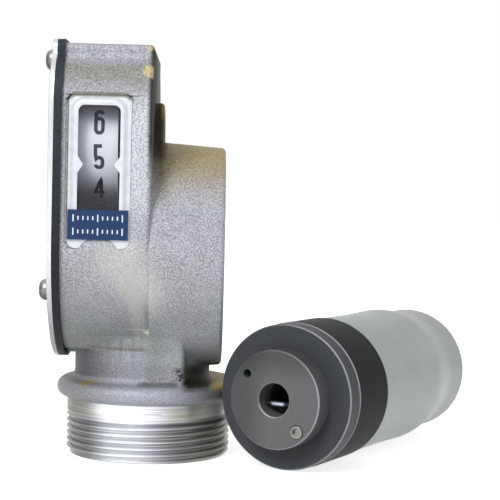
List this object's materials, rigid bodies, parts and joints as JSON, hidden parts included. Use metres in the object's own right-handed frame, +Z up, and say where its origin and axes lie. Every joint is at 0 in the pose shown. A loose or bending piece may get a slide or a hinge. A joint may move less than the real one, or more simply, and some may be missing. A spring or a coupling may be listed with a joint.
{
  "type": "float level gauge",
  "caption": "Cast gauge head with number window on a two-inch pipe thread, its geared number drum and spring tape reel, and its float lying on the floor beside it.",
  "frame": {"origin": "centre of the threaded spigot's lower end, on the floor", "axes": "+Z up along the spigot, +X to the right of the number window and along the drum and reel shafts, -Y out of the window"},
  "size_m": [0.161, 0.1233, 0.1463],
  "materials": {
    "cast_aluminium": "sand cast, unpainted, slightly stained",
    "plate_aluminium": "machined",
    "gasket_rubber": "matt",
    "stainless": "turned",
    "bezel_metal": "bright satin",
    "clear_pane": "clear",
    "label_blue": "printed",
    "drum_white": "satin, white, with printed numbers",
    "gear_brass": "machined",
    "bush_bronze": "plain",
    "spring_steel": "blued",
    "float_cap_plastic": "satin, graphite",
    "float_body_plastic": "moulded, satin"
  },
  "bodies": {
    "head": {"housing": "cast_aluminium", "cover_plate": "plate_aluminium", "cover_gasket": "gasket_rubber", "cover_screws": "stainless", "window_bezel": "bezel_metal", "window_lens": "clear_pane", "window_seal": "gasket_rubber", "number_label": "label_blue", "drum_bush": "bush_bronze", "frame_plate": "plate_aluminium", "frame_screws": "stainless", "cluster_stud": "stainless", "cluster_clip": "spring_steel", "main_bush_front": "bush_bronze", "main_bush_rear": "bush_bronze", "power_spring": "spring_steel", "spring_case": "plate_aluminium", "spring_case_cover": "plate_aluminium", "spring_case_screws": "stainless", "float_hub": "float_cap_plastic", "float_tape_pin": "stainless", "float_hub_screw": "stainless", "float_end_cap": "float_cap_plastic", "float_collar": "float_cap_plastic", "float_o_ring": "gasket_rubber", "float_body": "float_body_plastic"},
    "drum": {"number_drum": "drum_white", "drum_wheel": "gear_brass", "drum_shaft": "stainless", "drum_collar": "stainless"},
    "reel": {"main_shaft": "stainless", "main_pinion": "gear_brass", "tape_reel": "plate_aluminium", "wound_tape": "spring_steel", "spring_arbor": "stainless"},
    "cluster": {"cluster_gear": "gear_brass"}
  },
  "joints": [
    {"name": "drum_spin", "type": "hinge", "parent": "head", "child": "drum", "pos_m": [0, -0.0075, 0.1125], "axis": [1, 0, 0], "range_deg": [-114, 222]},
    {"name": "cluster_spin", "type": "hinge", "parent": "head", "child": "cluster", "pos_m": [0, 0.00845, 0.09734], "axis": [1, 0, 0], "range_deg": [-321, 165]},
    {"name": "reel_spin", "type": "hinge", "parent": "head", "child": "reel", "pos_m": [0, 0, 0.0717], "axis": [1, 0, 0], "range_deg": [-330, 642]}
  ],
  "couplings": [
    {"joint": "cluster_spin", "follows": "drum_spin", "ratio": -1.4444},
    {"joint": "reel_spin", "follows": "drum_spin", "ratio": 2.8889}
  ]
}
